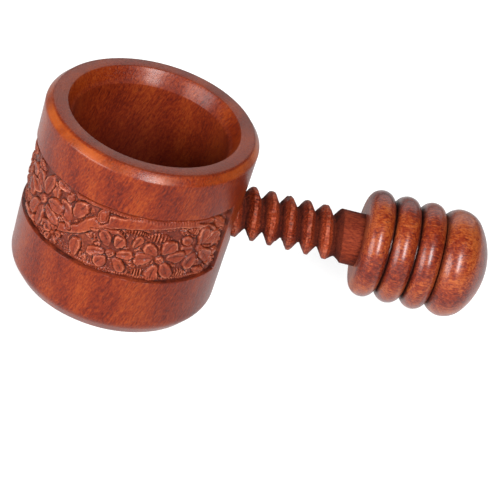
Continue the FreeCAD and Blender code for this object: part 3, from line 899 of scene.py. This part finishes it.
class Wood(Nodes):
    """Rosewood: broad figure, dark streaks and fine pores that run along one axis.

    Each step changes the colour (body), the roughness or the height of the bump, and
    finish joins them to the shader."""

    def __init__(self, name, along, dark, middle, light, gloss,
                 figure=1.0, fine=1.0, mottle=0.0, seed=0.0):
        super().__init__(name)
        self.place = self.add("ShaderNodeTexCoord").outputs["Object"]
        self.mm = self.mapping(self.place, MM_SCALE, (seed, seed * 2, seed * 3))
        self.grain = self.mapping(self.mm, rotation=GRAIN_TURN[along])

        layers = self.growth_layers(seed)
        self.patches = self.along_grain(0.09, 0.035, 1.0, 2.0)
        streak = self.along_grain(0.30, 0.022, 1.0, 4.0, 0.55, 0.8)
        fibre = self.along_grain(1.5, 0.16, 1.0, 4.0, 0.6)
        speckle = self.along_grain(1.0, 0.38, 2.1, 2.0, 0.6)
        pore = self.span(self.along_grain(1.0, 0.13, 2.6, 2.0, 0.5), 0.60, 0.70)

        shares = [(layers, 0.26 * figure), (self.patches, 0.55 * figure),
                  (streak, 0.40 * figure), (fibre, 0.65 * fine), (speckle, 0.95 * fine)]
        if mottle:
            shares.append((self.along_grain(0.30, 0.42, 1.0, 4.0, 0.7, 1.6), mottle))
        tone = 0.5
        for pattern, share in shares:
            tone = self.plus(self.math("SUBTRACT", pattern, 0.5), share, tone)
        stain = self.ramp(tone, [(0.16, dark), (0.47, middle), (0.86, light)])
        in_pores = colour(*[part * 0.5 for part in dark])
        self.body = self.mix(self.times(pore, 0.5), stain, in_pores)
        self.rough = self.plus(speckle, 0.22, gloss - 0.06)
        self.height = self.plus(pore, -0.6, self.math("ADD", fibre, self.times(speckle, 0.5)))

    def growth_layers(self, seed):
        """Wavy layers, cut at a slant by the turned shape."""
        layers = self.add("ShaderNodeTexWave", wave_type="BANDS", bands_direction="X")
        self.set(layers, "Vector", self.mapping(self.grain, rotation=LAYERS_TURN))
        self.set(layers, "Scale", 0.022)
        self.set(layers, "Distortion", 6.0)
        self.set(layers, "Detail", 3.0)
        self.set(layers, "Detail Scale", 0.8)
        self.set(layers, "Phase Offset", seed)
        return layers.outputs["Fac"]

    def along_grain(self, across, along, *noise):
        """Noise with its own scale across the grain and along it."""
        return self.noise(self.mapping(self.grain, (across, across, along)), *noise)

    def blend(self, amount, shade_of):
        """Mix a colour into the body."""
        self.body = self.mix(amount, self.body, shade_of)

    def roughen(self, amount, most):
        """Add up to most to the roughness."""
        self.rough = self.plus(amount, most, self.rough)

    def carved_band(self):
        """Darker, rougher wood in the carving, with painted shade in its recesses and cuts, and
        rubbed rims lightened with a painted highlight.
        """
        depth = self.attribute("carve_depth")
        worn = self.attribute("rim_wear_and_cut_shade")
        touched = self.span(depth, 0.03, 0.25)
        # painted shade, deepening with the carving's depth
        sunk = self.span(depth, 0.55, 2.00)
        self.blend(self.times(touched, 0.35), CARVED)
        self.blend(self.times(sunk, 0.90), RECESS_SHADE)
        patchy = self.noise(self.mm, 0.35, 2.0)
        # painted shade in narrow cuts and along the band's edge
        cut_shade_mask = self.span(worn, -0.75, -0.05, 1.0, 0.0)
        self.blend(self.times(cut_shade_mask, self.span(patchy, 0.35, 0.62, 0.25, 0.78)), CUT_SHADE)
        # raised rims: rubbed wear, lightened further as a painted highlight
        raised = self.span(worn, 0.0, 0.9)
        self.blend(self.times(raised, self.span(patchy, 0.40, 0.60, 0.12, 0.62)), RIM_WEAR_AND_HIGHLIGHT)
        self.roughen(touched, 0.16)
        cuts = self.noise(self.mm, 1.5, 3.0)
        self.height = self.plus(self.times(cuts, touched), 2.4, self.height)

    def position(self):
        """Place on the object in millimetres, as three sockets."""
        parts = self.add("ShaderNodeSeparateXYZ")
        self.set(parts, 0, self.mapping(self.place, MM_SCALE))
        return parts.outputs

    def bore_and_rim(self):
        """A dull bore with painted shade that deepens downward, end grain on the rim and painted
        light on the outer bevel.
        """
        x, y, z = self.position()
        squares = self.math("ADD", self.math("POWER", x, 2.0), self.math("POWER", y, 2.0))
        from_middle = self.math("SQRT", squares)
        within = self.span(from_middle, CHAMBER_RADIUS + 0.3, CHAMBER_RADIUS + 0.9, 1.0, 0.0)
        # painted shade in the bore, deepening downward
        deep = self.span(z, 20.0, 56.0, 1.0, 0.0)
        self.blend(self.times(within, self.plus(deep, 0.74, 0.06)), BORE_SHADE)
        self.roughen(within, 0.22)
        on_top = self.span(z, CUP_HEIGHT - 0.5, CUP_HEIGHT - 0.15)
        on_top = self.times(on_top, self.span(self.patches, 0.40, 0.60, 0.48, 0.15))
        self.blend(on_top, END_GRAIN)
        # painted light on the outer bevel, broken into patches
        bevel = self.times(self.span(z, CUP_HEIGHT - BEVEL_OUTER - 0.5, CUP_HEIGHT - 2.0),
                           self.span(z, CUP_HEIGHT - 0.8, CUP_HEIGHT - 0.3, 1.0, 0.0))
        bevel = self.times(bevel, self.span(from_middle, RIM_OUTER - 0.5, RIM_OUTER))
        bevel = self.times(bevel, self.plus(self.patches, 2.6, -0.86))
        self.blend(bevel, BEVEL_LIGHT)

    def grooves(self, deepest):
        """Dull grooves, darkened with painted shade."""
        depth = self.attribute("carve_depth")
        sunk = self.span(depth, deepest * 0.30, deepest)
        self.roughen(sunk, 0.45)
        # painted shade in the grooves
        self.blend(self.times(sunk, 0.75), GROOVE_SHADE)

    def crest_highlight(self, most):
        """A painted highlight on the thread's crests, in patches."""
        depth = self.attribute("carve_depth")
        crest = self.times(self.span(depth, 0.02, 0.35, 1.0, 0.0), self.span(depth, 0.0, 0.004))
        crest = self.times(crest, self.span(self.noise(self.mm, 0.9, 2.0), 0.42, 0.68))
        # painted highlight on the crests
        self.blend(self.times(crest, most), CREST_HIGHLIGHT)

    def dull_face(self, face):
        """No polish on the knob's flat inner face."""
        x = self.position()[0]
        self.roughen(self.span(x, face + 0.8, face + 2.6, 1.0, 0.0), 0.40)

    def finish(self, coat, shine):
        """Join the steps to the shader."""
        for socket, value in (("Base Color", self.body), ("Roughness", self.rough),
                              ("Coat Weight", coat), ("Coat Roughness", COAT_ROUGHNESS),
                              ("IOR", WOOD_IOR), ("Specular IOR Level", shine)):
            self.set(self.shader, socket, value)
        bump = self.add("ShaderNodeBump")
        self.set(bump, "Height", self.height)
        self.set(bump, "Strength", BUMP_STRENGTH)
        self.set(bump, "Distance", BUMP_DISTANCE)
        self.set(self.shader, "Normal", bump.outputs[0])
        return self.material


def cup_wood():
    """Polished outside, carved in the band, bored inside."""
    wood = Wood("cup_wood", "z", dark=(0.043, 0.0026, 0.0005), middle=(0.094, 0.0086, 0.0007),
                light=(0.154, 0.024, 0.0026), gloss=0.33, figure=0.75, fine=1.10, seed=3.0)
    wood.carved_band()
    wood.bore_and_rim()
    return wood.finish(coat=0.11, shine=0.12)


def screw_wood():
    """Bare wood, with painted shade in the thread's grooves and a painted highlight on its
    crests.
    """
    wood = Wood("screw_wood", "x", dark=(0.036, 0.0030, 0.0010), middle=(0.102, 0.0112, 0.0026),
                light=(0.19, 0.030, 0.009), gloss=0.50, figure=0.8, fine=1.5, seed=11.0)
    wood.grooves(deepest=2.8)
    wood.crest_highlight(0.6)
    return wood.finish(coat=0.0, shine=0.10)


def knob_wood():
    """Polished and mottled, with painted shade in the grooves."""
    wood = Wood("knob_wood", "x", dark=(0.044, 0.0028, 0.0008), middle=(0.106, 0.0104, 0.0016),
                light=(0.205, 0.045, 0.0080), gloss=0.33, fine=1.20, mottle=0.90, seed=23.0)
    wood.grooves(deepest=3.6)
    wood.dull_face(KNOB_FACE)
    return wood.finish(coat=0.24, shine=0.16)


def dowel_wood():
    """Plain pale wood."""
    wood = Wood("dowel_wood", "x", dark=(0.30, 0.17, 0.08), middle=(0.52, 0.35, 0.20),
                light=(0.66, 0.48, 0.30), gloss=0.5, figure=0.5, seed=31.0)
    return wood.finish(coat=0.0, shine=0.15)


# ---------------------------------------------------------------- pieces

def finish_piece(piece, material, body, node):
    """Give a piece its material and its place in the frame."""
    piece.data.materials.clear()
    piece.data.materials.append(material)
    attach(piece, body)
    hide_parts(node)


finish_piece(make_cup(), cup_wood(), "cup", "cup")
finish_piece(make_screw(), screw_wood(), "screw_and_knob", "screw")
finish_piece(make_knob(), knob_wood(), "screw_and_knob", "knob")

# the dowel keeps its CAD mesh
dowel_material = dowel_wood()
for material_slot in frame["nodes"]["joining_dowel"].material_slots:
    material_slot.material = dowel_material


# ---------------------------------------------------------------- camera

AIM = Vector((41.1, 1.2, 21.5)) * MM
AZIMUTH = -7.28
ELEVATION = 33.24
ROLL = 17.79
DISTANCE = 0.9555
FOCAL_WIDTHS = 6.0      # focal length over the sensor's width


def look_from(azimuth, elevation, roll, distance, target):
    """World matrix of a camera turned round its own axis by roll, in degrees."""
    a, e, r = (math.radians(angle) for angle in (azimuth, elevation, roll))
    back = Vector((math.sin(a) * math.cos(e), -math.cos(a) * math.cos(e), math.sin(e)))
    right = (-back).cross(Vector((0, 0, 1))).normalized()
    up = right.cross(-back)
    across = right * math.cos(r) + up * math.sin(r)
    upward = -right * math.sin(r) + up * math.cos(r)
    matrix = Matrix((across, upward, back)).transposed().to_4x4()
    matrix.translation = target + back * distance
    return matrix


def make_camera():
    """A long lens at the photo's angle."""
    data = bpy.data.cameras.new("camera")
    data.sensor_width = 36.0
    data.lens = FOCAL_WIDTHS * data.sensor_width
    data.clip_start = 0.01
    data.clip_end = 20.0
    camera = bpy.data.objects.new("camera", data)
    camera.matrix_world = look_from(AZIMUTH, ELEVATION, ROLL, DISTANCE, AIM)
    bpy.context.scene.collection.objects.link(camera)
    bpy.context.scene.camera = camera


# ---------------------------------------------------------------- floor and light

WHITE = colour(1.0, 1.0, 1.0)
FLOOR_HALF = 3.0
FLOOR_DROP = 0.0002     # keeps the floor clear of the cup's foot
FLOOR_GLOW = 0.77       # lifts the floor to the photo's white
WORLD_GLOW = 0.16


def make_floor():
    """A plain white floor."""
    half = FLOOR_HALF
    mesh = bpy.data.meshes.new("floor")
    mesh.from_pydata([(-half, -half, 0), (half, -half, 0), (half, half, 0), (-half, half, 0)],
                     [], [(0, 1, 2, 3)])
    floor = bpy.data.objects.new("floor", mesh)
    n = Nodes("floor_white")
    for socket, value in (("Base Color", colour(0.32, 0.32, 0.32)), ("Roughness", 0.9),
                          ("Emission Color", WHITE), ("Emission Strength", FLOOR_GLOW),
                          ("Specular IOR Level", 0.0)):
        n.set(n.shader, socket, value)
    floor.data.materials.append(n.material)
    floor.location.z = -FLOOR_DROP
    bpy.context.scene.collection.objects.link(floor)


def softbox(name, place, size, power):
    """A rectangular area light at a place in metres, facing the object."""
    data = bpy.data.lights.new(name, "AREA")
    data.shape = "RECTANGLE"
    data.size, data.size_y = size
    data.energy = power
    light = bpy.data.objects.new(name, data)
    light.location = place
    light.rotation_euler = (Vector(place) - AIM).to_track_quat("Z", "Y").to_euler()
    bpy.context.scene.collection.objects.link(light)


def make_world():
    """An even white surround."""
    world = bpy.data.worlds.new("studio")
    world.use_nodes = True
    background = world.node_tree.nodes["Background"]
    background.inputs["Color"].default_value = WHITE
    background.inputs["Strength"].default_value = WORLD_GLOW
    bpy.context.scene.world = world


make_camera()
make_floor()
softbox("left", place=(-0.76, -0.56, 0.27), size=(0.66, 0.54), power=17.5)
softbox("front", place=(0.20, -0.90, 0.68), size=(0.32, 0.66), power=30.0)
softbox("back", place=(0.0, 1.1, 0.72), size=(1.8, 0.8), power=9.0)
make_world()
bpy.context.scene.view_settings.view_transform = "Standard"
